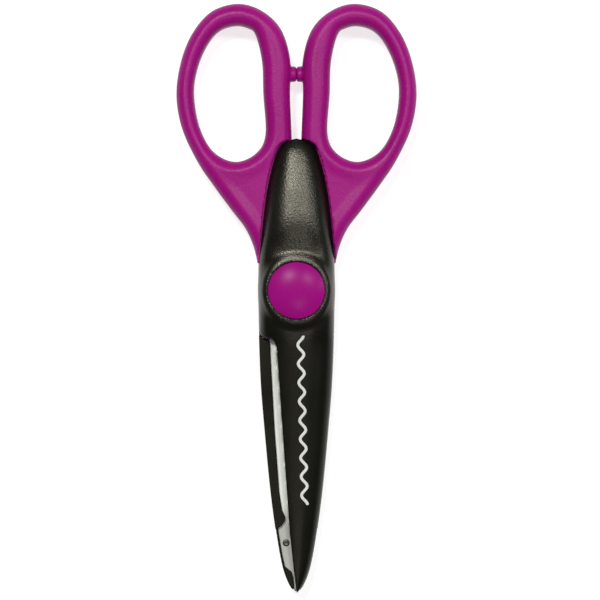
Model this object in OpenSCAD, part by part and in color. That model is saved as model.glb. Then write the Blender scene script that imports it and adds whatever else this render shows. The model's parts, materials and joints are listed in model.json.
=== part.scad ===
// Decorative edge scissors, closed and lying on the back cap.
// +Z is up out of the front cover along the pivot, +Y runs towards the finger loops, +X is to the right.
// The origin is on the pivot axis, on the surface that the scissors lie on.
// The two halves are the same mouldings: the back half is the front half turned over about the Y axis.

/* [Overall] */
// Height of the plane where the two halves meet
mid_z = 8; // [7.8:0.1:8.4]
// Clearance on either side of the meeting plane
half_gap = 0.3; // [0.28:0.01:0.4]

/* [Finger loops] */
// Thickness of the rounded finger loops
loop_th = 9.2; // [8:0.1:10]
// Thickness of the web between a loop and the cover
web_th = 7.4; // [7:0.1:7.8]
// Diameter of the stop pegs between the loops
peg_d = 4.3; // [3:0.1:5]
// Distance of the stop pegs from the pivot
peg_y = 60.6; // [58:0.1:63]

/* [Cover] */
// Width of the cover's side walls
wall = 1.5; // [1.2:0.1:1.8]
// Thickness of the cover's roof
roof = 2; // [1.8:0.1:2.2]
// Squareness of the cover's domed cross-section, away from the pivot
dome_n = 2.6; // [2.2:0.1:3.2]
// Depth of the rib along the outer edge, past the meeting plane
rib_depth = 1.4; // [0.8:0.1:1.8]

/* [Blades] */
// Thickness of the blade sheet
sheet = 0.8; // [0.78:0.01:0.84]
// Pitch of the wave that the blades cut
wave_pitch = 5.3; // [4:0.1:7]
// Half height of the wave that the blades cut
wave_amp = 0.75; // [0.3:0.05:0.75]
// Gap between each blade and the shear surface
blade_gap = 0.05; // [0.03:0.01:0.06]

/* [Pivot] */
// Diameter of the caps
cap_d = 15.9; // [15:0.1:16]
// Diameter of the flat in the middle of each cap
cap_flat_d = 6; // [4:0.5:8]
// Diameter of the pivot bolt
bolt_d = 5; // [4:0.1:6]
// Radial clearance of the bolt in the front tang
running_fit = 0.05; // [0.02:0.01:0.1]

/* [Pattern line] */
// Width of the white line
line_w = 0.8; // [0.5:0.05:1.2]
// Thickness of the white line
line_th = 0.12; // [0.08:0.01:0.2]

/* [Hidden] */
$fn = 64;

purple = [0.62, 0.10, 0.48];
black = [0.10, 0.10, 0.09];
steel = [0.78, 0.79, 0.76];
white = [0.93, 0.93, 0.90];

// Everything below is in the front half's own frame: x and y as above, z from the meeting plane.

// Finger loop: its outer edge and its hole, in matching pairs, for a loop on the +X side
loop_outer = [[1.8, 55], [1.75, 64.5], [4.3, 73], [9.6, 78.2], [16.4, 80.2], [23.8, 78], [29.2, 71.8],
              [32.4, 63.7], [33.6, 54.5], [32, 45.2], [26.8, 34.8], [18, 29.5], [4, 34.5], [1.4, 44.5]];
loop_hole = [[9.3, 55], [9.65, 64], [11.5, 71.6], [13.8, 73.5], [17.3, 74.05], [21.6, 72.6], [25, 68.6],
             [27.7, 62.2], [28.7, 55], [27.2, 45.9], [23.3, 38.9], [17.2, 36], [11.4, 38.3], [8.7, 43.6]];
// Web: from the loop down along the outer flank to where it dies out beside the cover
web_flank = [[27.7, 36], [23.2, 29.3], [18.2, 22.5], [14.4, 17.5], [12.1, 12.5], [10.9, 7.6]];
web_inner = [[8, 8.5], [1.4, 30], [1.4, 43.5], [5, 42.5], [9, 36.5], [17, 33]];

// Cover: half width and place of each point down its symmetric outline, from the nose to the tip
flank = [[0.5, 42.4], [3.6, 41.5], [5.6, 39.6], [7.4, 34], [8.9, 26.5], [9.9, 17.5], [10.6, 9], [10.7, 0],
         [10.5, -13], [10, -26], [9.1, -37.4], [7.4, -55.3], [5.6, -68.8], [3.9, -77.7], [2, -82.6],
         [0.4, -84.4]];
// Cover: height of the crest above the meeting plane down the length
crest = [[42.4, 3.6], [41.2, 4.9], [39, 5.6], [35, 6.3], [28, 7.25], [22, 7.85], [18.5, 8], [15.5, 7.7],
         [12.5, 7.05], [9.5, 6.8], [-9, 6.8], [-14, 6], [-26, 5.5], [-55, 4.4], [-78, 3.4], [-84.4, 2.6]];
// Cover: the step on the side away from the carrier
step_edge = [[-12, -10], [-10.6, -11.2], [-10, -12.5], [-9.2, -13], [-7, -13.4], [-6.1, -14.4]];
// Tang: its lip, which shows just below the step
lip_edge = [[-9, -8], [-9.8, -10.6], [-9.75, -12.5], [-9.1, -13.2], [-7, -13.6], [-6.3, -14.3], [-4, -14.3]];
lip = [1.6, 2.2];
// Cover: the low ledge below the step, inside the sweep of the other half's rib
ledge_edge = [[-9.3, -12.35], [-9.3, -13], [-9.1, -13.35], [-8.2, -13.9], [-7.5, -14.3], [-7.5, -12.35]];

// Everything that passes over the other half's parts stays inside this radius or outside the next one
sweep_r = 16.2;
rib_r = 16.32;
wave_r = 16.8;
wave_count = 10;
disc_r = 7;
disc_th = 0.5;
blade_root_r = 9.9;
rim = 0.8;
tip_y = -84.4;

// Carrier edge and cutting edge: x at the step and at the tip
step_y = -13.3;
carrier_x = [-5.7, 0];
edge_x = [-6, -0.5];
// Place where the carrier edge turns in towards the tip
carrier_bend = [-1.85, -68];
// Inner edge of the rib, along the strip of the flange that stays in sight
rib_edge = [[7.5, -13.5], [6.1, -39], [4.8, -56.5], [4, -61.5]];
// Where the rib ends and the pad of the flange comes into sight: from the strip out past the rim
rib_end = [[3.1, -63.4], [3.4, -64.8], [4.2, -65.8], [5.2, -66.5], [8, -67.5]];
slit = 0.03;

dome_arcs = 11;
// Extra squareness of the cover around the pivot, and how far along it that reaches
boss_n = 1.6;
boss_reach = 11;

// White line: x of its middle, y and number of waves from its first end to its last
line_x = [1.1, 2.3];
line_y = [-12.6, -59.8];
line_waves = 9;
line_swing = 0.8;

tang_low = half_gap;
tang_top = 3.2;
// Tang: its plan inside the cover, with the corner left out for the solid end behind the step
tang_plan = [[-12, -12.2], [-5, -12.2], [-5, -14.2], [12, -14.2], [12, 46], [-12, 46]];
// Cover: the solid corner behind the step, as its lower left place and its size
corner_at = [-12.1, -22.3];
corner_size = [7, 10];
neck_top = 2.2;
tongue = [1.8, 3.3];
tongue_end = -46;
bearing_top = 2.6;
boss_r = 8.9;
boss_top = 6.8;
boss_floor = 4.9;
cap_seat = 6;
plug_r = 4.4;
plug_low = 5.1;
head_r = 4;
head_th = 1.5;
washer_th = 0.6;
rivet_r = 0.55;
rivet_head_r = 1;
rivet_places = [[7.6, -11.2], [2.9, -70.7]];

function catmull(a, b, c, d, t) =
    0.5 * (2 * b + (c - a) * t + (2 * a - 5 * b + 4 * c - d) * t * t + (3 * b - a - 3 * c + d) * t * t * t);
function open_curve(p, n) = let (m = len(p)) concat(
    [for (i = [0:m - 2], k = [0:n - 1])
        catmull(p[max(i - 1, 0)], p[i], p[i + 1], p[min(i + 2, m - 1)], k / n)],
    [p[m - 1]]);
function closed_curve(p, n) = let (m = len(p))
    [for (i = [0:m - 1], k = [0:n - 1])
        catmull(p[(i + m - 1) % m], p[i], p[(i + 1) % m], p[(i + 2) % m], k / n)];
function mirrored(p) = [for (q = p) [-q[0], q[1]]];
function backwards(p) = [for (i = [len(p) - 1:-1:0]) p[i]];
function along(ends, y) = ends[0] + (ends[1] - ends[0]) * (step_y - y) / (step_y - tip_y);

flank_curve = open_curve(flank, 4);
crest_curve = open_curve(crest, 4);
function crest_at(y) = min(mid_z, lookup(y, crest_curve));
function half_width(y) = lookup(y, [for (q = flank_curve) [q[1], q[0]]]);
function squareness(y) = dome_n + boss_n * exp(-pow(y / boss_reach, 2));

// Closes a stack of matching point rings into a solid; a looped stack joins its last ring to its first
module skin(rings, looped = false) {
    n = len(rings);
    m = len(rings[0]);
    last = looped ? n - 1 : n - 2;
    sides = [for (i = [0:last], j = [0:m - 1])
        let (a = i * m + j, b = i * m + (j + 1) % m, c = ((i + 1) % n) * m + j, d = ((i + 1) % n) * m + (j + 1) % m)
        each [[a, b, d], [a, d, c]]];
    ends = looped ? [] : [[for (j = [m - 1:-1:0]) j], [for (j = [0:m - 1]) (n - 1) * m + j]];
    polyhedron(points = [for (r = rings) each r], faces = concat(sides, ends));
}

// Solid symmetric dome over the outline, shrunk by side and top, for y between low_y and high_y
module dome(side, top, base, low_y, high_y, arcs = dome_arcs) {
    rings = [for (q = flank_curve) if (q[1] <= high_y && q[1] >= low_y && q[0] - side >= 0.4)
        let (w = q[0] - side, h = crest_at(q[1]) - top - base, n = squareness(q[1]),
             norm = pow(cos(90 / arcs), 2 / n))
        [for (i = [0:arcs]) let (c = -cos(180 * i / arcs), s = sin(180 * i / arcs))
            [w * sign(c) * pow(abs(c), 2 / n), q[1], base + h * pow(abs(s), 2 / n) / norm]]];
    skin(rings);
}

module slab(low, high) {
    translate([0, 0, low]) linear_extrude(high - low) children();
}

module outline(side = 0) {
    p = [for (q = flank_curve) if (q[0] - side > 0) [q[0] - side, q[1]]];
    polygon(concat(p, backwards(mirrored(p))));
}

module loop_ring() {
    outer = mirrored(closed_curve(loop_outer, 4));
    hole = mirrored(closed_curve(loop_hole, 4));
    sides = 12;
    rings = [for (i = [0:len(outer) - 1])
        let (mid = (outer[i] + hole[i]) / 2, arm = (outer[i] - hole[i]) / 2)
        [for (k = [0:sides - 1])
            let (a = 360 * (k + 0.5) / sides, u = sign(cos(a)) * pow(abs(cos(a)), 0.75) / pow(cos(15), 0.75),
                 v = sign(sin(a)) * pow(abs(sin(a)), 0.75) / pow(cos(15), 0.75))
            [mid[0] + arm[0] * u, mid[1] + arm[1] * u, v * loop_th / 2]]];
    skin(rings, looped = true);
}

module web_shape() {
    polygon(mirrored(concat(open_curve(web_flank, 3), web_inner)));
}

module blade_shape(grow = 0) {
    right = [for (q = flank_curve) if (q[1] < -11 && q[1] > -76.5) [q[0] - rim + grow, q[1]]];
    polygon(concat([[along(edge_x, -9.6) - grow, -9.6 + grow], [-3, -blade_root_r + grow],
                    [3, -blade_root_r + grow], [9, -9.8 + grow]],
                   right,
                   [[3.2 + grow, -77.4 - grow], [1.4, -78.8 - grow],
                    [along(edge_x, -84) + 0.15, -84 - grow], [along(edge_x, -83.6) - grow, -83.6]]));
}

// Side of the other blade's cutting edge that this blade is corrugated on
module wave_side(grow = 0) {
    polygon([[-20, step_y + 5], [-along(edge_x, step_y + 5) + 0.3 + grow, step_y + 5],
             [-along(edge_x, tip_y - 2) + 0.3 + grow, tip_y - 2], [-20, tip_y - 2]]);
}

module handle_body() {
    difference() {
        union() {
            difference() {
                union() {
                    loop_ring();
                    slab(-web_th / 2, web_th / 2) web_shape();
                }
                slab(0, loop_th) offset(delta = 0.05) outline();
                slab(-loop_th, 0) offset(delta = half_gap) outline();
                slab(-loop_th, tang_low) outline();
            }
            slab(tang_low, neck_top) web_shape();
            intersection() {
                slab(tang_low, tang_top) polygon(tang_plan);
                dome(wall + 0.15, roof + 0.15, -2, -16, 40);
            }
            slab(lip[0], lip[1]) polygon(lip_edge);
            slab(tongue[0], tongue[1]) tongue_shape();
            translate([-2.6, peg_y, 0]) rotate([0, 90, 0]) cylinder(d = peg_d, h = 2.55);
        }
        slab(-1, sheet + blade_gap + slit) blade_shape(0.1);
        slab(-1, tongue[0]) difference() {
            translate([-20, -60]) square([40, 50]);
            circle(r = sweep_r);
        }
        translate([0, 0, bearing_top]) cylinder(r = disc_r, h = 5);
        rivet_holes();
    }
}

module rivet_holes() {
    for (p = rivet_places)
        translate([p[0], p[1], -3]) cylinder(r = rivet_r + 0.02, h = 5.8);
}

module tongue_shape(grow = 0) {
    polygon([[-4.4 - grow, -10], [-3.4 - grow, -18], [along(carrier_x, tongue_end) + 1.6 - grow, tongue_end - grow],
             [half_width(tongue_end) - 3 + grow, tongue_end - grow], [half_width(-20) - 3 + grow, -20],
             [half_width(-10) - 3 + grow, -10]]);
}

module handle(front) {
    half(front) difference() {
        handle_body();
        translate([0, 0, -1]) cylinder(d = bolt_d + (front ? 2 * running_fit : 0.04), h = 8);
    }
}

// What is cut away from the cover's plan: the corner beyond the step and the carrier's edge
module cover_cut() {
    polygon(concat(step_edge, [[along(carrier_x, -15.6), -15.6], carrier_bend,
                               [along(carrier_x, tip_y - 2), tip_y - 2], [-20, tip_y - 2], [-20, -9]]));
}

module cover_body() {
    difference() {
        union() {
            dome(0, 0, -rib_depth, tip_y, 43);
            translate([0, 0, 2]) cylinder(r = boss_r, h = boss_top - 2);
        }
        slab(-3, 9) cover_cut();
        difference() {
            dome(wall, roof, -2, -15.5, 41);
            slab(-3, 9) translate(corner_at) square(corner_size);
        }
        slab(-2, half_gap) {
            circle(r = rib_r);
            translate([-20, 0]) square([40, 50]);
        }
        slab(-2, neck_top + 0.05) offset(delta = 0.1) web_shape();
        slab(lip[0] - 0.05, lip[1] + 0.05) offset(delta = 0.05) polygon(lip_edge);
        slab(tongue[0] - 0.1, tongue[1] + 0.05) tongue_shape(0.15);
        slab(-2, sheet + blade_gap + slit) polygon(concat(
            [[-20, rib_edge[0][1]]], rib_edge, [rib_end[0], [-20, rib_end[0][1]]]));
        slab(-2, slit) polygon(concat([[-20, rib_end[0][1]]], rib_end, [[8, tip_y - 2], [-20, tip_y - 2]]));
        slab(slit - 0.01, sheet + blade_gap + slit) blade_shape(0.1);
        slab(-2, sheet + blade_gap + wave_amp + 0.1) difference() {
            wave_side(0.1);
            circle(r = rib_r - 0.1);
        }
        cylinder(r = plug_r + 0.05, h = 9);
        cylinder(r = 5.2, h = boss_floor);
        translate([0, 0, cap_seat]) cylinder(r = cap_d / 2 + 0.2, h = 3);
        rivet_holes();
    }
}

module cover(front) {
    half(front) {
        cover_body();
        slab(half_gap, lip[0] - 0.05) polygon(ledge_edge);
    }
}

// Sheet whose surface rises and falls with the distance from the pivot
module wave_sheet(sense) {
    steps = 8;
    n = wave_count * steps;
    low = [for (i = [0:n + 1]) [i > n ? -tip_y + 2 : wave_r + i * wave_pitch / steps,
                                blade_gap + (i < n ? sense * wave_amp * sin(360 * i / steps) : 0)]];
    rotate_extrude($fn = 128) polygon(concat(low, backwards([for (q = low) [q[0], q[1] + sheet]])));
}

module blade_body(sense) {
    difference() {
        union() {
            intersection() {
                slab(blade_gap, blade_gap + sheet) blade_shape();
                slab(-1, 2) union() {
                    circle(r = wave_r + 0.02);
                    difference() {
                        translate([-20, -90]) square([40, 82]);
                        wave_side(-0.02);
                    }
                }
            }
            intersection() {
                wave_sheet(sense);
                slab(-2, 3) intersection() {
                    blade_shape();
                    wave_side();
                }
            }
        }
        rivet_holes();
    }
}

module blade(front) {
    half(front) blade_body(front ? 1 : -1);
}

module rivets(front) {
    half(front) for (p = rivet_places) translate([p[0], p[1], 0]) {
        translate([0, 0, -0.1]) cylinder(r = rivet_head_r, h = 0.1 + blade_gap);
        cylinder(r = rivet_r, h = 2.7);
    }
}

module cap(front) {
    side = 0.55;
    span = cap_d / 2 - cap_flat_d / 2;
    rise = mid_z - cap_seat - side;
    steps = 8;
    arc = [for (i = [0:steps]) [cap_d / 2 - span * i / steps,
                                cap_seat + side + rise * (1 - pow(1 - i / steps, 2))]];
    half(front) rotate_extrude() polygon(concat(
        [[0, plug_low], [plug_r, plug_low], [plug_r, cap_seat + 0.02], [cap_d / 2 - 0.1, cap_seat + 0.02],
         [cap_d / 2, cap_seat + 0.15]], arc, [[0, mid_z]]));
}

// Height of the cover's surface over a point of its plan
function surface_at(x, y) = let (n = squareness(y)) -rib_depth + (crest_at(y) + rib_depth)
    * pow(1 - pow(abs(x) / half_width(y), n), 1 / n) / pow(cos(90 / dome_arcs), 2 / n);
// Middle of the white line: it waves down the carrier and hooks to the right at either end
function line_at(t) = [line_x[0] + (line_x[1] - line_x[0]) * t + line_swing * cos(360 * line_waves * t),
                       line_y[0] + (line_y[1] - line_y[0]) * t];

module pattern_line_body() {
    n = line_waves * 10;
    rings = [for (i = [0:n])
        let (m = line_at(i / n), d = line_at((i + 0.5) / n) - line_at((i - 0.5) / n),
             side = [d[1], -d[0]] / norm(d) * line_w / 2, a = m + side, b = m - side,
             za = surface_at(a[0], a[1]) + slit, zb = surface_at(b[0], b[1]) + slit)
        [[a[0], a[1], za], [a[0], a[1], za + line_th], [b[0], b[1], zb + line_th], [b[0], b[1], zb]]];
    skin(rings);
}

module half(front) {
    translate([0, 0, mid_z]) rotate([0, front ? 0 : 180, 0]) children();
}

module front_handle() { color(purple) handle(true); }
module back_handle() { color(purple) handle(false); }
module front_cover() { color(black) cover(true); }
module back_cover() { color(black) cover(false); }
module front_blade() { color(steel) blade(true); }
module back_blade() { color(steel) blade(false); }
module front_blade_rivets() { color(black) rivets(true); }
module back_blade_rivets() { color(black) rivets(false); }
module front_cap() { color(purple) cap(true); }
module back_cap() { color(purple) cap(false); }
module pattern_line() { color(white) half(true) pattern_line_body(); }

module pivot_bolt() {
    low = -bearing_top - washer_th - 0.04 - head_th;
    color(steel) half(true) difference() {
        union() {
            translate([0, 0, low]) cylinder(d = bolt_d, h = bearing_top + washer_th + 0.05 - low);
            translate([0, 0, bearing_top + washer_th + 0.04]) cylinder(r = head_r, h = head_th);
        }
        translate([-5, -0.5, bearing_top + washer_th + head_th - 0.6]) cube([10, 1, 1]);
    }
}

module pivot_nut() {
    color(steel) half(false) translate([0, 0, bearing_top + washer_th + 0.04]) difference() {
        cylinder(r = 4.5, h = head_th, $fn = 6);
        translate([0, 0, -1]) cylinder(d = bolt_d + 0.04, h = 4);
    }
}

// Shallow cone that pushes the front tang back against the friction disc
module spring_washer() {
    color(steel) half(true) translate([0, 0, bearing_top + 0.02]) rotate_extrude() polygon([
        [bolt_d / 2 + 0.1, 0.2], [4.8, 0], [4.8, 0.35], [bolt_d / 2 + 0.1, washer_th]]);
}

module flat_washer() {
    color(steel) half(false) translate([0, 0, bearing_top + 0.02]) difference() {
        cylinder(r = 4.8, h = washer_th);
        translate([0, 0, -1]) cylinder(d = bolt_d + 0.2, h = 3);
    }
}

module friction_disc() {
    color(white) translate([0, 0, mid_z - disc_th / 2]) difference() {
        cylinder(r = disc_r, h = disc_th);
        translate([0, 0, -1]) cylinder(d = bolt_d + 0.2, h = 3);
    }
}

front_handle();
back_handle();
front_cover();
back_cover();
front_blade();
back_blade();
front_blade_rivets();
back_blade_rivets();
front_cap();
back_cap();
pattern_line();
pivot_bolt();
pivot_nut();
spring_washer();
flat_washer();
friction_disc();
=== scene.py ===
import json
import math

import bpy
import numpy as np
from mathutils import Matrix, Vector


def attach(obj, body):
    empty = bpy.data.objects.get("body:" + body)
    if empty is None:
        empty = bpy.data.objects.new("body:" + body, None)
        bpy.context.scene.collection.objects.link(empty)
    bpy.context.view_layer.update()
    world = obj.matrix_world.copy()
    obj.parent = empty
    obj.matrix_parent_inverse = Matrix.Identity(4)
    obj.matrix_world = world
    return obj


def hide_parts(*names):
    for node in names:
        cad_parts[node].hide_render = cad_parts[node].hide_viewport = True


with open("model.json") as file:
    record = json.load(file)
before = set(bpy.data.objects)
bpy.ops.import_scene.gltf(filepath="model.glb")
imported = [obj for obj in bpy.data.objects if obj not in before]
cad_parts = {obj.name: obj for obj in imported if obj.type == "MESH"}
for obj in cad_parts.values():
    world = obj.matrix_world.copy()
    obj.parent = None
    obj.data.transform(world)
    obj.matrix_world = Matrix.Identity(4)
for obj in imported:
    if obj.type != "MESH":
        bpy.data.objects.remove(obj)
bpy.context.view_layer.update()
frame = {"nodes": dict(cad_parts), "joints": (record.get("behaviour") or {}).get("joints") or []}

MM = 0.001
MID = frame["joints"][0]["pos_m"][2] / MM

# All shapes are in millimetres in the front half's own frame: x and y as in the CAD, s from the
# plane where the halves meet. The back half is the same form turned over about the Y axis.

# ---------------------------------------------------------------- outlines (the same as the CAD's)

HANDLE_EDGE = [(0.9, 30), (1.2, 37), (1.4, 44.5), (1.8, 55), (1.75, 64.5), (4.3, 73), (9.6, 78.2),
               (16.4, 80.2), (23.8, 78), (29.2, 71.8), (32.4, 63.7), (33.6, 54.5), (32, 45.2), (27.7, 36),
               (23.2, 29.3), (18.2, 22.5), (14.4, 17.5), (12.1, 12.5), (10.9, 7.6)]
LOOP_HOLE = [(9.3, 55), (9.65, 64), (11.5, 71.6), (13.8, 73.5), (17.3, 74.05), (21.6, 72.6), (25, 68.6),
             (27.7, 62.2), (28.7, 55), (27.2, 45.9), (23.3, 38.9), (17.2, 36), (11.4, 38.3), (8.7, 43.6)]
FLANK = [(0.5, 42.4), (3.6, 41.5), (5.6, 39.6), (7.4, 34), (8.9, 26.5), (9.9, 17.5), (10.6, 9), (10.7, 0),
         (10.5, -13), (10, -26), (9.1, -37.4), (7.4, -55.3), (5.6, -68.8), (3.9, -77.7), (2, -82.6),
         (0.4, -84.4)]
CREST = [(42.4, 3.6), (41.2, 4.9), (39, 5.6), (35, 6.3), (28, 7.25), (22, 7.85), (18.5, 8), (15.5, 7.7),
         (12.5, 7.05), (9.5, 6.8), (-9, 6.8), (-14, 6), (-26, 5.5), (-55, 4.4), (-78, 3.4), (-84.4, 2.6)]
STEP_EDGE = [(-12, -10), (-10.6, -11.2), (-10, -12.5), (-9.2, -13), (-7, -13.4), (-6.1, -14.4)]
LIP_EDGE = [(-9, -8), (-9.8, -10.6), (-9.75, -12.5), (-9.1, -13.2), (-7, -13.6), (-6.3, -14.3), (-4, -14.3)]
LEDGE_EDGE = [(-9.3, -12.35), (-9.3, -13), (-9.1, -13.35), (-8.2, -13.9), (-7.5, -14.3), (-7.5, -12.35)]
RIB_END = [(3.1, -63.4), (3.4, -64.8), (4.2, -65.8), (5.2, -66.5), (8, -67.5)]

STEP_Y = -13.3
TIP_Y = -84.4
CARRIER_X = (-5.7, 0)
CARRIER_BEND = (-1.85, -68)
EDGE_X = (-6, -0.5)
RIB_EDGE = [(7.5, -13.5), (6.1, -39), (4.8, -56.5), (4, -61.5)]
TONGUE_END = -46

# Handle: half thickness of the loop, its edge radius, and how far its top drops at the neck and in the web
LOOP_HALF = 4.6
LOOP_ROUND = 3.4
NECK_DROP = 0.75
DISH_DROP = 0.6
BEARING_TOP = 2.6
DISC_R = 7

# Cover: its shell, and the exponent of its domed cross-section
WALL = 1.5
ROOF = 2
RIB_DEPTH = 1.4
DOME_N = 2.6
BOSS_N = 1.6
BOSS_REACH = 11

# Where the parts of the two halves lie above the plane between them, and what they sweep
HALF_GAP = 0.3
TANG_TOP = 3.2
NECK_TOP = 2.2
TONGUE = (1.8, 3.3)
LIP = (1.6, 2.2)
SWEEP_R = 16.2
RIB_R = 16.32
RIM = 0.8

# Clearance of most parts in their rooms, and an x well outside the covers
FIT = 0.05
FAR = 20

# Blade: the sheet, the gap under it and the waves, which start at WAVE_R from the pivot
SHEET = 0.8
BLADE_GAP = 0.05
WAVE_R = 16.8
WAVE_COUNT = 10
WAVE_PITCH = 5.3
WAVE_AMP = 0.75

BLADE_SEAT = SHEET + BLADE_GAP + FIT

PEG_Y = 60.6
PEG_R = 2.15
PEG_REACH = 3.5
BOSS_R = 8.9
BOSS_TOP = 6.8
CAP_R = 7.95
CAP_SEAT = 6
PLUG_R = 4.4
BOLT_R = 2.5
RIVETS = [(7.6, -11.2), (2.9, -70.7)]
RIVET_R = 0.55
RIVET_HEAD_R = 1
RIVET_TOP = 2.7


def curve(points, n, closed=False):
    """Catmull-Rom curve through the points, n steps to a span."""
    p = np.array(points, float)
    if closed:
        p = np.vstack([p[-1], p, p[:2]])
    else:
        p = np.vstack([p[0], p, p[-1]])
    t = np.linspace(0, 1, n, endpoint=False)[None, :, None]
    a, b, c, d = (p[i:len(p) - 3 + i, None] for i in range(4))
    spans = 0.5 * (2 * b + (c - a) * t + (2 * a - 5 * b + 4 * c - d) * t ** 2
                   + (3 * b - a - 3 * c + d) * t ** 3)
    out = spans.reshape(-1, 2)
    return out if closed else np.vstack([out, p[-1]])


def mirrored(points):
    return np.array(points, float) * (-1, 1)


def along(ends, y):
    """x at y on the straight line between two x values, at the step and at the tip."""
    return ends[0] + (ends[1] - ends[0]) * (STEP_Y - y) / (STEP_Y - TIP_Y)


FLANK_CURVE = curve(FLANK, 8)
CREST_PLACES = np.arange(-90, 50, 0.5)
CREST_HEIGHTS = np.interp(CREST_PLACES, curve(CREST, 6)[::-1, 0], np.minimum(curve(CREST, 6)[::-1, 1], MID))
SOFTENING = np.exp(-(np.arange(-6, 6.5, 0.5) / 2.2) ** 2)
CREST_HEIGHTS = np.convolve(np.pad(CREST_HEIGHTS, 12, "edge"), SOFTENING / SOFTENING.sum(), "valid")


def half_width(y):
    return np.interp(y, FLANK_CURVE[::-1, 1], FLANK_CURVE[::-1, 0], left=0, right=0)


def crest(y):
    return np.interp(y, CREST_PLACES, CREST_HEIGHTS)


def squareness(y):
    """Exponent of the cover's domed cross-section at y: squarer around the pivot."""
    return DOME_N + BOSS_N * np.exp(-(y / BOSS_REACH) ** 2)


HANDLE_CURVE = curve(HANDLE_EDGE, 7)
HANDLE_OUTLINE = mirrored(np.vstack([HANDLE_CURVE, [(8, 8.5)]]))
WIDE_OUTLINE = mirrored(np.vstack([HANDLE_CURVE, [(10.6, 0), (-6, 0), (-6, 40)]]))
HOLE_OUTLINE = mirrored(curve(LOOP_HOLE, 7, closed=True))
COVER_OUTLINE = np.vstack([FLANK_CURVE, mirrored(FLANK_CURVE)[::-1]])
BELOW_TIP = TIP_Y - 2
COVER_CUT = np.vstack([STEP_EDGE, [(along(CARRIER_X, -15.8), -15.8), CARRIER_BEND],
                       [(along(CARRIER_X, BELOW_TIP), BELOW_TIP), (-FAR, BELOW_TIP), (-FAR, -10)]])
TONGUE_OUTLINE = np.array([(-4.4, -10), (-3.4, -18), (along(CARRIER_X, TONGUE_END) + 1.6, TONGUE_END),
                           (half_width(TONGUE_END) - 3, TONGUE_END), (half_width(-20) - 3, -20),
                           (half_width(-10) - 3, -10)])
RIB_END_Y = RIB_END[0][1]
STRIP_ROOM = np.array([(-FAR, RIB_EDGE[0][1]), *RIB_EDGE, RIB_END[0], (-FAR, RIB_END_Y)])
PAD_ROOM = np.vstack([[(-FAR, RIB_END_Y)], RIB_END, [(8, BELOW_TIP), (-FAR, BELOW_TIP)]])
WAVE_TOP = STEP_Y + 5
WAVE_ROOM = np.array([(-FAR, WAVE_TOP), (-along(EDGE_X, WAVE_TOP) + 0.4, WAVE_TOP),
                      (-along(EDGE_X, BELOW_TIP) + 0.4, BELOW_TIP), (-FAR, BELOW_TIP)])


# ---------------------------------------------------------------- distance functions

class Plan:
    """Signed distance to a closed polygon, negative inside, kept on a fine grid."""
    step = 0.125
    x0, x1, y0, y1 = -36, 13, -88, 84

    def __init__(self, poly):
        poly = np.array(poly, float)
        x = np.arange(self.x0, self.x1, self.step)[:, None]
        y = np.arange(self.y0, self.y1, self.step)[None, :]
        near = np.full((x.size, y.size), np.inf)
        inside = np.zeros(near.shape, bool)
        for (ax, ay), (bx, by) in zip(poly, np.roll(poly, -1, 0)):
            ex, ey, wx, wy = bx - ax, by - ay, x - ax, y - ay
            t = np.clip((wx * ex + wy * ey) / max(ex * ex + ey * ey, 1e-12), 0, 1)
            near = np.minimum(near, (wx - ex * t) ** 2 + (wy - ey * t) ** 2)
            if ay != by:
                inside ^= ((ay > y) != (by > y)) & (wx < ex * wy / ey)
        self.grid = np.where(inside, -1, 1) * np.sqrt(near)

    def __call__(self, x, y):
        u = np.clip((x - self.x0) / self.step, 0, self.grid.shape[0] - 1.001)
        v = np.clip((y - self.y0) / self.step, 0, self.grid.shape[1] - 1.001)
        i, j = u.astype(int), v.astype(int)
        u, v = u - i, v - j
        g = self.grid
        return ((g[i, j] * (1 - v) + g[i, j + 1] * v) * (1 - u)
                + (g[i + 1, j] * (1 - v) + g[i + 1, j + 1] * v) * u)


handle_plan = Plan(HANDLE_OUTLINE)
wide_plan = Plan(WIDE_OUTLINE)
hole_plan = Plan(HOLE_OUTLINE)
cover_plan = Plan(COVER_OUTLINE)
cut_plan = Plan(COVER_CUT)
lip_plan = Plan(LIP_EDGE)
ledge_plan = Plan(LEDGE_EDGE)
tongue_plan = Plan(TONGUE_OUTLINE)
strip_plan = Plan(STRIP_ROOM)
pad_plan = Plan(PAD_ROOM)
wave_plan = Plan(WAVE_ROOM)


def both(a, b, k=0.0):
    """The space inside both shapes, with the crease between them rounded over about k."""
    if not k:
        return np.maximum(a, b)
    h = np.maximum(k - np.abs(a - b), 0) / k
    return np.maximum(a, b) + h * h * k / 4


def either(a, b, k=0.0):
    return -both(-a, -b, k)


def less(a, b, k=0.0):
    return both(a, -b, k)


def slab(plan, s, low, high, k=0.0):
    return both(plan, np.abs(s - (low + high) / 2) - (high - low) / 2, k)


def rounded(plan, s, height, radius):
    """Plate of that half height over the plan, its edges rounded to the radius."""
    a, b = plan + radius, np.abs(s) - height + radius
    return np.minimum(np.maximum(a, b), 0) + np.hypot(np.maximum(a, 0), np.maximum(b, 0)) - radius


def smooth_step(low, high, v):
    t = np.clip((v - low) / (high - low), 0, 1)
    return t * t * (3 - 2 * t)


def dome(x, y, s, side=0.0, top=0.0):
    """The cover's domed form, shrunk by side and top."""
    w = np.maximum(half_width(y) - side, 0.05)
    h = crest(y) - top + RIB_DEPTH
    n = squareness(y)
    rho = ((np.abs(x) / w) ** n + (np.maximum(s + RIB_DEPTH, 0) / h) ** n) ** (1 / n)
    return both((rho - 1) * np.minimum(w, h), -RIB_DEPTH - s)


def blade_plan(x, y, grow=0.0):
    left, right = blade_sides(y)
    return np.maximum(np.maximum(left - x, x - right), np.maximum(TIP_Y + 0.4 - y, y + 9.7)) - grow


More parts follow.
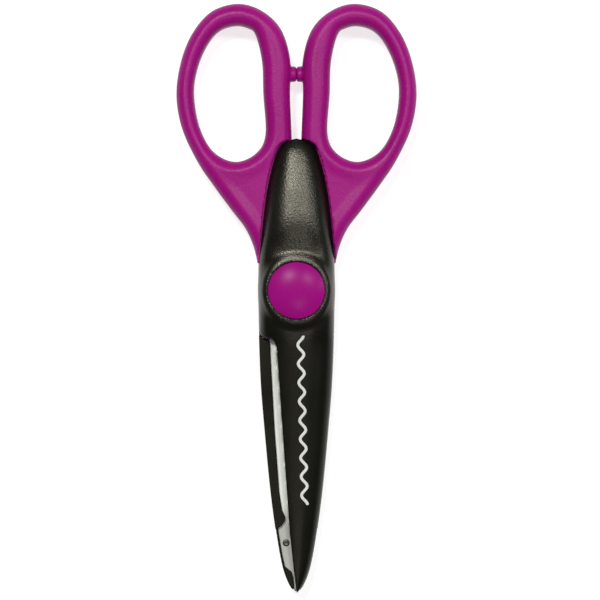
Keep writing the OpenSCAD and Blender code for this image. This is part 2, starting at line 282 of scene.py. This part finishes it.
def blade_sides(y):
    """x of the cutting edge and of the back edge of the blade at y."""
    left = along(EDGE_X, y)
    back = half_width(np.minimum(y, -11)) - RIM
    pad = np.interp(y, [-84.0, -78.8, -77.4, -76.6], [along(EDGE_X, -84) + 0.15, 1.4, 3.1, 40])
    root = np.interp(y, [-11.5, -9.7], [40, 8.6])
    return left, np.minimum(np.minimum(back, pad), root)


# ---------------------------------------------------------------- the moulded forms

def handle_form(x, y, s):
    """Loop, web, stop peg, and the tang with its lip and tongue, which go into the cover."""
    edge, hole, cover = handle_plan(x, y), hole_plan(x, y), cover_plan(x, y)
    plan = less(edge, hole, 1.6)
    inner = less(wide_plan(x, y), hole, 4)
    top = LOOP_HALF - NECK_DROP * (1 - smooth_step(8, 40, y)) - DISH_DROP * smooth_step(2.4, 6, -inner)
    loop = rounded(plan, s, top, LOOP_ROUND)
    peg = both(np.hypot(y - PEG_Y, s) - PEG_R, np.maximum(x + 0.01, -PEG_REACH - x), 0.8)
    loop = either(loop, peg, 0.6)
    loop = less(loop, cover - np.where(s > HALF_GAP, 0.08, HALF_GAP), 0.3)
    neck = slab(both(edge, cover - 0.3), s, HALF_GAP, NECK_TOP)
    tang_end = np.maximum(-13 - y, np.minimum(-12.2 - y, -5 - x))
    tang = slab(both(dome(x, y, s, WALL + 0.15, ROOF + 0.15), tang_end), s, HALF_GAP, TANG_TOP)
    step = slab(lip_plan(x, y), s, *LIP)
    tongue = slab(tongue_plan(x, y), s, *TONGUE)
    tang = either(either(neck, tang), either(step, tongue))
    out = either(loop, tang)
    r = np.hypot(x, y)
    out = less(out, slab(blade_plan(x, y, 0.1), s, -1, BLADE_SEAT))
    out = less(out, slab(both(SWEEP_R - r, y + 10), s, -1, TONGUE[0]))
    out = less(out, both(r - DISC_R, BEARING_TOP - s))
    return less(out, r - BOLT_R - FIT)


def cover_form(x, y, s):
    """Domed shell from nose to tip: boss, rib and step, and the room for the tang, the blade and the cap."""
    r = np.hypot(x, y)
    boss = both(r - BOSS_R, np.maximum(s - BOSS_TOP, 2 - s), 1.6)
    out = either(both(dome(x, y, s), cover_plan(x, y)), boss, 3)
    out = less(out, cut_plan(x, y), 0.3)
    room_end = np.maximum(-13.2 - y, np.minimum(-12.3 - y, -5.1 - x))
    out = less(out, both(both(dome(x, y, s, WALL, ROOF), room_end), y - 41))
    out = less(out, both(s - HALF_GAP, np.minimum(r - RIB_R, -y)), 0.2)
    out = either(out, slab(ledge_plan(x, y), s, HALF_GAP, LIP[0] - FIT))
    out = less(out, slab(handle_plan(x, y) - 0.1, s, -2, NECK_TOP + FIT))
    out = less(out, slab(lip_plan(x, y) - FIT, s, LIP[0] - FIT, LIP[1] + FIT))
    out = less(out, slab(tongue_plan(x, y) - 0.15, s, TONGUE[0] - 0.1, TONGUE[1] + FIT))
    out = less(out, slab(strip_plan(x, y), s, -2, BLADE_SEAT), 0.3)
    out = less(out, slab(pad_plan(x, y), s, -2, 0.03), 0.3)
    out = less(out, slab(blade_plan(x, y, 0.12), s, 0.0, BLADE_SEAT))
    out = less(out, slab(both(wave_plan(x, y), RIB_R - 0.1 - r), s, -2, BLADE_SEAT + WAVE_AMP + FIT))
    out = less(out, slab(r - CAP_R - 0.2, s, CAP_SEAT, 10), 0.3)
    return less(out, r - PLUG_R - 0.1)


# ---------------------------------------------------------------- from a form to a mesh

def contour(form, low, high, step):
    """Quads over the form's zero surface, one vertex to a grid cell, set where the faces around it meet.

    Also returns how sharply the surface turns outwards at each vertex."""
    axes = [np.arange(a, b + step, step) for a, b in zip(low, high)]
    f = form(axes[0][:, None, None], axes[1][None, :, None], axes[2][None, None, :])
    f = np.where(f == 0, 1e-9, f)
    shape = np.array(f.shape)
    spans, quads = [], []
    for axis in range(3):
        u, v = (axis + 1) % 3, (axis + 2) % 3
        before = np.take(f, range(shape[axis] - 1), axis)
        after = np.take(f, range(1, shape[axis]), axis)
        at = np.argwhere((before < 0) != (after < 0))
        at = at[(at[:, u] > 0) & (at[:, v] > 0) & (at[:, u] < shape[u] - 1) & (at[:, v] < shape[v] - 1)]
        a, b = before[tuple(at.T)], after[tuple(at.T)]
        point = at.astype(float)
        point[:, axis] += a / (a - b)
        spans.append(np.array([ax[0] for ax in axes]) + step * point)
        ring = np.repeat(at[:, None], 4, 1)
        ring[:, :, u] += (-1, 0, 0, -1)
        ring[:, :, v] += (-1, -1, 0, 0)
        ring = np.ravel_multi_index(ring.transpose(2, 0, 1), shape)
        ring[a > 0] = ring[a > 0][:, ::-1]
        quads.append(ring)
    point, quads = np.vstack(spans), np.vstack(quads)
    slope = np.empty_like(point)
    h = 0.02
    for axis in range(3):
        d = np.zeros(3)
        d[axis] = h
        slope[:, axis] = (form(*(point + d).T) - form(*(point - d).T)) / (2 * h)
    size = np.maximum(np.linalg.norm(slope, axis=1), 0.2)
    normal = slope / size[:, None]
    point = point - normal * np.clip(form(*point.T) / size, -0.3 * step, 0.3 * step)[:, None]
    cells, faces = np.unique(quads, return_inverse=True)
    faces = faces.reshape(quads.shape)
    n = len(cells)

    def gather(values):
        return sum(np.bincount(faces[:, k], values, n) for k in range(4))

    count = gather(np.ones(len(point)))
    centre = np.stack([gather(point[:, i]) for i in range(3)], -1) / count[:, None]
    mean = np.stack([gather(normal[:, i]) for i in range(3)], -1) / count[:, None]
    offset = np.einsum("ij,ij->i", normal, point)
    left = np.empty((n, 3, 3))
    for i in range(3):
        for j in range(i, 3):
            left[:, i, j] = left[:, j, i] = gather(normal[:, i] * normal[:, j])
    right = np.stack([gather(normal[:, i] * offset) for i in range(3)], -1)
    right -= np.einsum("nij,nj->ni", left, centre)
    left += (0.03 * count)[:, None, None] * np.eye(3)
    move = np.linalg.solve(left, right[..., None])[..., 0]
    corner = np.stack(np.unravel_index(cells, shape), -1) * step + [ax[0] for ax in axes]
    vertex = np.clip(centre + move, corner - 0.02 * step, corner + 1.02 * step)
    outward = np.einsum("ij,ij->i", mean, move) > 0
    turn = 1 - np.linalg.norm(mean, axis=1)
    return vertex, faces, np.where(outward, smooth_step(0.005, 0.08, turn), 0)


def place(points, front):
    """Half frame to the CAD's frame, in metres."""
    out = np.array(points, float)
    if not front:
        out = out * (-1, 1, -1)
    out[:, 2] += MID
    return out * MM


def new_piece(name, points, faces, front, body, nodes, slot, material, attribute=None, sharp=40):
    mesh = bpy.data.meshes.new(name)
    mesh.from_pydata(place(points, front).tolist(), [], [tuple(f) for f in faces])
    mesh.validate()
    mesh.update()
    mesh.shade_smooth()
    mesh.set_sharp_from_angle(angle=math.radians(sharp))
    if attribute is not None:
        layer = mesh.attributes.new("wear_and_sheen", "FLOAT", "POINT")
        layer.data.foreach_set("value", attribute.astype(np.float32))
    obj = bpy.data.objects.new(name, mesh)
    bpy.context.scene.collection.objects.link(obj)
    mesh.materials.append(material)
    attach(obj, body)
    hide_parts(*nodes)
    return obj


def lathe(profile, sides=96, centre=(0, 0)):
    """Closed solid of revolution about the pivot's direction from (r, s) pairs that start and end at r 0."""
    profile = np.array(profile, float)
    a = np.linspace(0, 2 * np.pi, sides, endpoint=False)
    inner = profile[1:-1]
    ring = np.stack([inner[:, None, 0] * np.cos(a), inner[:, None, 0] * np.sin(a),
                     np.repeat(inner[:, 1, None], sides, 1)], -1).reshape(-1, 3)
    ends = np.array([[0, 0, profile[0, 1]], [0, 0, profile[-1, 1]]])
    points = np.vstack([ring, ends]) + (*centre, 0)
    n = len(inner)
    faces = []
    for i in range(n - 1):
        for j in range(sides):
            k = (j + 1) % sides
            faces.append((i * sides + j, i * sides + k, (i + 1) * sides + k, (i + 1) * sides + j))
    for j in range(sides):
        k = (j + 1) % sides
        faces.append((n * sides, k, j))
        faces.append((n * sides + 1, (n - 1) * sides + j, (n - 1) * sides + k))
    return points, faces


# ---------------------------------------------------------------- materials

def graph(name):
    material = bpy.data.materials.new(name)
    material.use_nodes = True
    tree = material.node_tree
    return material, tree, tree.nodes["Principled BSDF"]


def add(tree, kind, **values):
    node = tree.nodes.new(kind)
    for key, value in values.items():
        if key in node.inputs:
            node.inputs[key].default_value = value
        else:
            setattr(node, key, value)
    return node


def noise(tree, scale, detail=2.0, rough=0.5, stretch=None):
    where = add(tree, "ShaderNodeTexCoord")
    out = add(tree, "ShaderNodeTexNoise", Scale=scale, Detail=detail, Roughness=rough)
    if stretch:
        turn = add(tree, "ShaderNodeMapping")
        turn.inputs["Scale"].default_value = stretch
        tree.links.new(where.outputs["Object"], turn.inputs["Vector"])
        tree.links.new(turn.outputs["Vector"], out.inputs["Vector"])
    else:
        tree.links.new(where.outputs["Object"], out.inputs["Vector"])
    return out.outputs["Fac"]


def remap(tree, value, low, high, to_low, to_high):
    out = add(tree, "ShaderNodeMapRange")
    for key, number in zip(("From Min", "From Max", "To Min", "To Max"), (low, high, to_low, to_high)):
        out.inputs[key].default_value = number
    tree.links.new(value, out.inputs["Value"])
    return out.outputs["Result"]


def blend_colour(tree, factor, one, two):
    out = add(tree, "ShaderNodeMix", data_type="RGBA")
    tree.links.new(factor, out.inputs["Factor"])
    for socket, colour in ((out.inputs["A"], one), (out.inputs["B"], two)):
        if isinstance(colour, tuple):
            socket.default_value = (*colour, 1)
        else:
            tree.links.new(colour, socket)
    return out.outputs["Result"]


def bump(tree, shader, height, strength, distance):
    """Links a bump of that height into the shader's normal; distance is in mm."""
    node = add(tree, "ShaderNodeBump", Strength=strength, Distance=distance * MM)
    tree.links.new(height, node.inputs["Height"])
    tree.links.new(node.outputs["Normal"], shader.inputs["Normal"])
    return node


def wear_and_sheen_mark(tree):
    """The mesh's own mark: on a moulding, how worn an edge is; on a blade, how far it is flat flange, where
    the steel gets a painted sheen.
    """
    return add(tree, "ShaderNodeAttribute", attribute_name="wear_and_sheen").outputs["Fac"]


def downwards(tree, high, low, at_high, at_low):
    """A value that goes from at_high to at_low between y = high and y = low, in mm."""
    where = add(tree, "ShaderNodeTexCoord")
    parts = add(tree, "ShaderNodeSeparateXYZ")
    tree.links.new(where.outputs["Object"], parts.inputs["Vector"])
    return remap(tree, parts.outputs["Y"], low * MM, high * MM, at_low, at_high)


def plastic(name, colour, pale, grain, roughness, depth, mottle=0.04, wear_and_sheen=True, level=0.5,
            tint=(1, 1, 1), smoother=None):
    """Moulded plastic: a fine grain, faint mottling and slightly polished, paler edges.

    smoother is the strength of the grain and the shine below the pivot, where they differ."""
    material, tree, shader = graph(name)
    fine = noise(tree, grain, 2, 0.6)
    broad = noise(tree, grain / 30, 3, 0.5)
    darker = tuple(c * (1 - mottle * 2) for c in colour)
    lighter = tuple(min(1, c * (1 + mottle * 2)) for c in colour)
    base = blend_colour(tree, remap(tree, broad, 0.3, 0.7, 0, 1), darker, lighter)
    base = blend_colour(tree, remap(tree, fine, 0.42, 0.75, 0, 0.3), base, pale)
    if wear_and_sheen:
        base = blend_colour(tree, remap(tree, wear_and_sheen_mark(tree), 0, 1, 0, 0.25), base, pale)
    tree.links.new(base, shader.inputs["Base Color"])
    shader.inputs["Specular IOR Level"].default_value = level
    shader.inputs["Specular Tint"].default_value = (*tint, 1)
    polish = remap(tree, broad, 0.3, 0.7, roughness - 0.04, roughness + 0.05)
    tree.links.new(polish, shader.inputs["Roughness"])
    grip = 0.5
    grains = bump(tree, shader, fine, grip, depth)
    if smoother:
        low_grip, low_shine = smoother
        tree.links.new(downwards(tree, -6, -14, grip, low_grip), grains.inputs["Strength"])
        tree.links.new(downwards(tree, -4, -14, level, low_shine), shader.inputs["Specular IOR Level"])
    return material


def metal(name, colour, roughness, lines=(1, 1, 1), depth=0.01, metallic=1.0, painted_sheen=None):
    """Ground or plated metal: fine scratches along one direction, and uneven polish.

    painted_sheen is the colour of a painted sheen on a blade's flat flange, down to the pad at its tip; that
    flange is also made less metallic than the waves."""
    material, tree, shader = graph(name)
    scratch = noise(tree, 2500, 3, 0.6, lines)
    cloud = noise(tree, 180, 3, 0.55)
    base = blend_colour(tree, remap(tree, cloud, 0.3, 0.7, 0, 1), tuple(c * 0.93 for c in colour), colour)
    # Painted sheen: the flat flange above the pad is painted in a lighter colour than the rest of the same
    # steel.
    if painted_sheen:
        strip = add(tree, "ShaderNodeMath", operation="MULTIPLY")
        tree.links.new(wear_and_sheen_mark(tree), strip.inputs[0])
        tree.links.new(downwards(tree, -60, -66, 1, 0), strip.inputs[1])
        base = blend_colour(tree, strip.outputs["Value"], base, painted_sheen)
    tree.links.new(base, shader.inputs["Base Color"])
    shader.inputs["Metallic"].default_value = metallic
    # Part of the painted sheen: the flat flange is made less metallic, so its lighter colour shows.
    if painted_sheen:
        tree.links.new(remap(tree, wear_and_sheen_mark(tree), 0, 1, 0.55, metallic), shader.inputs["Metallic"])
    polish = remap(tree, scratch, 0.3, 0.7, roughness - 0.06, roughness + 0.08)
    tree.links.new(polish, shader.inputs["Roughness"])
    bump(tree, shader, scratch, 0.4, depth)
    return material


PURPLE = plastic("purple_moulding", (0.29, 0.0035, 0.175), (0.36, 0.02, 0.25), grain=1900, roughness=0.34,
                 depth=0.12, level=0.14)
CAP_PURPLE = plastic("purple_cap", (0.285, 0.004, 0.18), (0.30, 0.008, 0.19), grain=1500, roughness=0.27,
                     depth=0.01, wear_and_sheen=False, level=0.06)
BLACK = plastic("black_moulding", (0.0040, 0.0042, 0.0030), (0.010, 0.010, 0.007), grain=1900, roughness=0.31,
                depth=0.17, level=0.48, tint=(1, 0.97, 0.84), smoother=(0.12, 0.14))
# Blade steel with a painted sheen: its flat flange is painted lighter down to the pad.
STEEL = metal("blade_steel", (0.44, 0.455, 0.435), 0.55, lines=(1, 0.05, 1), depth=0.004, metallic=0.15,
              painted_sheen=(0.74, 0.78, 0.75))
DARK_METAL = metal("blackened_rivet", (0.07, 0.07, 0.065), 0.4, depth=0.02)
PLATED = metal("zinc_plated", (0.62, 0.63, 0.64), 0.3)
SPRING = metal("oil_tempered", (0.18, 0.18, 0.19), 0.35)
WHITE = plastic("white_print", (0.60, 0.63, 0.62), (0.70, 0.73, 0.72), grain=1800, roughness=0.5,
                depth=0.02, wear_and_sheen=False)
NYLON = plastic("white_nylon", (0.78, 0.77, 0.71), (0.85, 0.84, 0.8), grain=1200, roughness=0.45,
                depth=0.01, wear_and_sheen=False)

FRONT = dict(front=True, body="front_half")
BACK = dict(front=False, body="back_half")
HALVES = (("front", FRONT), ("back", BACK))


# ---------------------------------------------------------------- pieces

def make_handles():
    points, faces, wear_and_sheen = contour(handle_form, (-35, -48, -5.6), (12, 82, 5.6), 0.36)
    for side, where in HALVES:
        new_piece(f"{side}_handle_moulding", points, faces.tolist(), nodes=[f"{side}_handle"],
                  slot="purple_plastic", material=PURPLE, attribute=wear_and_sheen, **where)


def make_covers():
    points, faces, wear_and_sheen = contour(cover_form, (-11.6, -85.2, -2.2), (11.6, 43.3, 9), 0.29)
    for side, where in HALVES:
        new_piece(f"{side}_cover_moulding", points, faces.tolist(), nodes=[f"{side}_cover"],
                  slot="black_plastic", material=BLACK, attribute=wear_and_sheen, **where)


def make_caps():
    top = CAP_SEAT + 0.55
    radii = np.linspace(CAP_R - 0.12, 0, 28)[:-1]
    arc = [(r, MID - (MID - top - 0.1) * (r / CAP_R) ** 2.3) for r in radii]
    profile = [(0, 5.1), (PLUG_R, 5.1), (PLUG_R, CAP_SEAT + 0.02), (CAP_R - 0.15, CAP_SEAT + 0.02),
               (CAP_R, CAP_SEAT + 0.17), (CAP_R, top - 0.12), (CAP_R - 0.05, top + 0.02), *arc, (0, MID)]
    points, faces = lathe(profile)
    for side, where in HALVES:
        new_piece(f"{side}_cap_dome", points, faces, nodes=[f"{side}_cap"], slot="cap_plastic",
                  material=CAP_PURPLE, **where)


def flange_start(y):
    """x at y beyond which the blade is flat: just past the other blade's cutting edge."""
    return -along(EDGE_X, y) + 0.3


def blade_wave(x, y, sense):
    """Height of the sheet's middle line: a wave round the pivot that dies out towards the flange."""
    r = np.hypot(x, y)
    limit = flange_start(y)
    end = WAVE_R + WAVE_COUNT * WAVE_PITCH
    fade = smooth_step(WAVE_R - 0.1, WAVE_R + 0.9, r) * (1 - smooth_step(end - 1, end, r))
    fade = fade * (1 - smooth_step(limit - 0.7, limit, x))
    return sense * WAVE_AMP * np.sin(2 * np.pi * (r - WAVE_R) / WAVE_PITCH) * fade


def make_blades():
    """Thin closed sheets, meshed in rows down their length, thinner at the cutting edge and the back edge."""
    rows = np.arange(-9.7, -84.01, -0.2)
    across = np.concatenate([[0, 0.02, 0.05], np.linspace(0.09, 1, 30)])
    left, right = blade_sides(rows)
    x = left[:, None] + (right - left)[:, None] * across
    y = np.repeat(rows[:, None], len(across), 1)
    bevel_width, back_drop = 0.12, 0.1
    bevel = np.clip((x - left[:, None]) / bevel_width, 0, 1)
    back = np.clip((right[:, None] - x) / bevel_width, 0, 1)
    thick = SHEET * (0.85 + 0.15 * bevel) - back_drop * (1 - back)
    # How far each point is flat flange: the steel paints a sheen there.
    flange = smooth_step(flange_start(y) - 1.2, flange_start(y) - 0.4, x)
    flange = np.concatenate([flange, flange[:, ::-1]], 1).reshape(-1)
    for (side, where), sense in zip(HALVES, (1, -1)):
        low = BLADE_GAP + blade_wave(x, y, sense)
        under = np.stack([x, y, low + back_drop * (1 - back)], -1)
        over = np.stack([x, y, low + thick], -1)[:, ::-1]
        ring = np.concatenate([under, over], 1)
        n, m = ring.shape[:2]
        faces = []
        for i in range(n - 1):
            for j in range(m):
                k = (j + 1) % m
                faces.append((i * m + j, i * m + k, (i + 1) * m + k, (i + 1) * m + j))
        half = m // 2
        for i, flip in ((0, False), (n - 1, True)):
            for j in range(half - 1):
                f = (i * m + j, i * m + m - 1 - j, i * m + m - 2 - j, i * m + j + 1)
                faces.append(f[::-1] if flip else f)
        new_piece(f"{side}_blade_sheet", ring.reshape(-1, 3), faces, nodes=[f"{side}_blade"],
                  slot="blade_steel", material=STEEL, sharp=35, attribute=flange, **where)


def make_rivets():
    """Domed, faintly dimpled heads on their shanks; each half's two rivets are one piece."""
    profile = [(0, -0.02), (0.25, -0.02), (0.42, -0.06), (0.6, -0.09), (0.78, -0.07), (0.93, 0.0),
               (RIVET_HEAD_R, 0.06), (RIVET_R, 0.07), (RIVET_R, RIVET_TOP), (0, RIVET_TOP)]
    for side, where in HALVES:
        points, faces = [], []
        for centre in RIVETS:
            p, f = lathe(profile, 40, centre)
            start = sum(len(q) for q in points)
            points.append(p)
            faces += [tuple(start + i for i in face) for face in f]
        new_piece(f"{side}_blade_rivet_pair", np.vstack(points), faces, nodes=[f"{side}_blade_rivets"],
                  slot="dark_rivet", material=DARK_METAL, **where)


def surface_height(x, y):
    """s of the cover's top surface over (x, y), closed in on step by step from just above it."""
    s = crest(y) * (1 - 0.4 * (np.abs(x) / half_width(y)) ** DOME_N) + 0.2
    for _ in range(12):
        f = cover_form(x, y, s)
        s = s - f / np.maximum((cover_form(x, y, s + 0.05) - f) / 0.05, 0.3)
    return s


def make_pattern_line():
    """Raised white print down the front cover: a wave on the way from start to end."""
    waves, swing, width = 9, 0.8, 0.8
    start, end = (1.1, -12.6), (2.3, -59.8)
    n = waves * 28
    t = np.linspace(0, 1, n + 1)
    mid = np.stack([start[0] + (end[0] - start[0]) * t + swing * np.cos(2 * np.pi * waves * t),
                    start[1] + (end[1] - start[1]) * t], -1)
    way = np.gradient(mid, axis=0)
    way /= np.linalg.norm(way, axis=1)[:, None]
    side = np.stack([way[:, 1], -way[:, 0]], -1)
    section = [(-0.5, -0.15), (0.5, -0.15), (0.5, 0.03), (0.42, 0.09), (0.2, 0.11), (-0.2, 0.11),
               (-0.42, 0.09), (-0.5, 0.03)]
    ring = []
    for u, lift in section:
        xy = mid + side * u * width
        ring.append(np.column_stack([xy, surface_height(xy[:, 0], xy[:, 1]) + lift]))
    ring = np.array(ring).transpose(1, 0, 2)
    m = len(section)
    faces = [(i * m + j, (i + 1) * m + j, (i + 1) * m + (j + 1) % m, i * m + (j + 1) % m)
             for i in range(n) for j in range(m)]
    faces += [tuple(range(m)), tuple(n * m + j for j in range(m - 1, -1, -1))]
    new_piece("pattern_line_print", ring.reshape(-1, 3), faces, nodes=["pattern_line"],
              slot="white_paint", material=WHITE, **FRONT)


def dress(node, material):
    """Gives a piece that stays as the CAD made it its material."""
    slots = frame["nodes"][node].data.materials
    slots.clear()
    slots.append(material)


make_handles()
make_covers()
make_caps()
make_blades()
make_rivets()
make_pattern_line()
for node, material in (("pivot_bolt", PLATED), ("pivot_nut", PLATED), ("flat_washer", PLATED),
                       ("spring_washer", SPRING), ("friction_disc", NYLON)):
    dress(node, material)


# ---------------------------------------------------------------- floor, light and camera

LAMP_DISTANCE = 1.3
WARM = (1, 0.97, 0.92)


def make_floor():
    size = 1.6
    corners = [(-size, -size, 0), (size, -size, 0), (size, size, 0), (-size, size, 0)]
    mesh = bpy.data.meshes.new("floor")
    mesh.from_pydata(corners, [], [(0, 1, 2, 3)])
    floor = bpy.data.objects.new("floor", mesh)
    bpy.context.scene.collection.objects.link(floor)
    material, tree, shader = graph("pale_floor")
    tone = blend_colour(tree, noise(tree, 9, 3), (0.40, 0.40, 0.40), (0.43, 0.43, 0.425))
    tree.links.new(tone, shader.inputs["Base Color"])
    shader.inputs["Roughness"].default_value = 0.8
    shader.inputs["Specular IOR Level"].default_value = 0.1
    shader.inputs["Emission Color"].default_value = (1, 1, 1, 1)
    shader.inputs["Emission Strength"].default_value = 0.74
    mesh.materials.append(material)


def soft_box(name, towards, size, watts, colour=(1, 1, 1)):
    """Round area lamp that looks at the pivot from that direction."""
    light = bpy.data.lights.new(name, "AREA")
    light.shape = "DISK"
    light.size = size
    light.energy = watts
    light.color = colour
    obj = bpy.data.objects.new(name, light)
    bpy.context.scene.collection.objects.link(obj)
    way = Vector(towards).normalized()
    obj.location = way * LAMP_DISTANCE
    obj.rotation_euler = way.to_track_quat("Z", "Y").to_euler()


def make_lights():
    world = bpy.data.worlds.new("studio")
    bpy.context.scene.world = world
    world.use_nodes = True
    background = world.node_tree.nodes["Background"]
    background.inputs["Color"].default_value = (1, 1, 1, 1)
    background.inputs["Strength"].default_value = 0.08
    soft_box("key_left", (-0.17, 0.345, 0.923), 0.22, 10.2, WARM)
    soft_box("key_right", (0.26, 0.28, 0.925), 0.2, 5, WARM)
    soft_box("right_strip", (0.62, 0.16, 0.77), 0.16, 2.2)
    soft_box("low_fill", (0.06, -0.3, 0.95), 0.3, 1.6, WARM)


def make_camera():
    """Looks straight down: the scissors fill the frame from edge to edge, handles up."""
    view_width, lens, sensor = 0.16806, 200, 36
    aim = (0.98 * MM, -2.66 * MM)
    camera = bpy.data.cameras.new("camera")
    camera.lens = lens
    camera.sensor_width = sensor
    camera.clip_start = 0.01
    obj = bpy.data.objects.new("camera", camera)
    bpy.context.scene.collection.objects.link(obj)
    obj.location = (*aim, MID * MM + view_width * lens / sensor)
    obj.rotation_euler = (0, 0, 0)
    bpy.context.scene.camera = obj


make_floor()
make_lights()
make_camera()
bpy.context.scene.view_settings.view_transform = "Standard"
